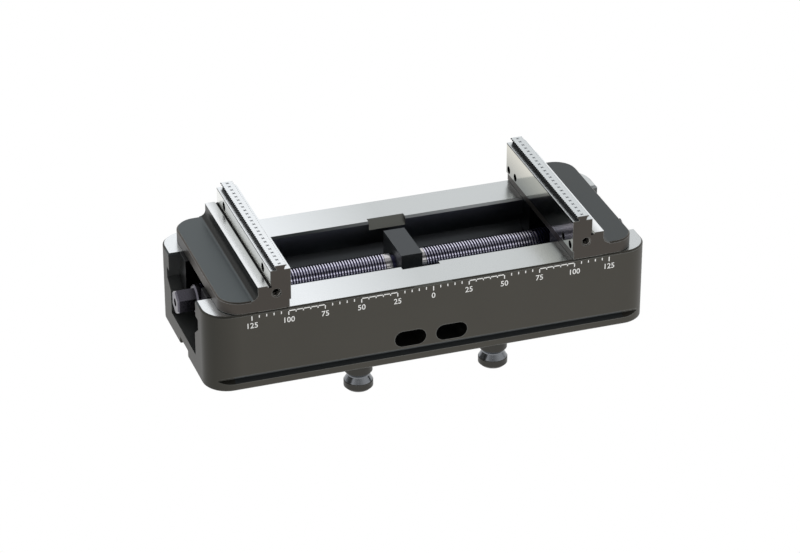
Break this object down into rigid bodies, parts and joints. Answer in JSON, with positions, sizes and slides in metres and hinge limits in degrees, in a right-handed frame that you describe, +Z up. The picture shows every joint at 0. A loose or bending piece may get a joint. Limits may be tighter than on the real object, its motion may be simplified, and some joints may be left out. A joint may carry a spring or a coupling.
{
  "type": "self-centring machine vise",
  "caption": "Low self-centring machine vise: a slotted base with rails, a central double-thread spindle, guided carriages, stepped jaws and pull studs below.",
  "frame": {"origin": "the middle of the vise in plan, at the foot of the pull studs", "axes": "+X along the spindle towards the right jaw, +Y across the jaws towards the rear long side, +Z up from the studs to the jaws"},
  "size_m": [0.32, 0.125, 0.1097],
  "materials": {
    "base_steel": "blackened and milled, with ground rail tops",
    "jaw_steel": "blackened, with ground edges",
    "carriage_steel": "blackened",
    "spindle_steel": "hardened, rolled thread with bright shoulders",
    "bearing_steel": "satin",
    "screw_steel": "black oxide",
    "dowel_steel": "ground",
    "stud_steel": "hardened and ground"
  },
  "bodies": {
    "base": {"base_body": "base_steel", "bearing_saddle": "bearing_steel", "bearing_cap": "bearing_steel", "foot_screw_front": "screw_steel", "foot_screw_rear": "screw_steel", "cap_screw_front": "screw_steel", "cap_screw_rear": "screw_steel", "pull_stud_1": "stud_steel", "pull_stud_2": "stud_steel", "pull_stud_3": "stud_steel", "pull_stud_4": "stud_steel"},
    "spindle": {"spindle": "spindle_steel"},
    "carriage_left": {"carriage_left": "carriage_steel", "jaw_left": "jaw_steel", "jaw_screw_left_1": "screw_steel", "jaw_screw_left_2": "screw_steel", "jaw_screw_left_3": "screw_steel", "jaw_screw_left_4": "screw_steel", "dowel_left_front": "dowel_steel", "dowel_left_rear": "dowel_steel"},
    "carriage_right": {"carriage_right": "carriage_steel", "jaw_right": "jaw_steel", "jaw_screw_right_1": "screw_steel", "jaw_screw_right_2": "screw_steel", "jaw_screw_right_3": "screw_steel", "jaw_screw_right_4": "screw_steel", "dowel_right_front": "dowel_steel", "dowel_right_rear": "dowel_steel"}
  },
  "joints": [
    {"name": "spindle_turn", "type": "hinge", "parent": "base", "child": "spindle", "pos_m": [0, 0, 0.059], "axis": [1, 0, 0], "range_deg": [-1441, 17371]},
    {"name": "carriage_left_slide", "type": "slide", "parent": "base", "child": "carriage_left", "axis": [1, 0, 0], "range_m": [-0.008, 0.0965]},
    {"name": "carriage_right_slide", "type": "slide", "parent": "base", "child": "carriage_right", "axis": [-1, 0, 0], "range_m": [-0.008, 0.0965]}
  ],
  "couplings": [
    {"joint": "spindle_turn", "follows": "carriage_left_slide", "rad_per_m": 3141.6},
    {"joint": "carriage_right_slide", "follows": "carriage_left_slide", "ratio": 1}
  ]
}
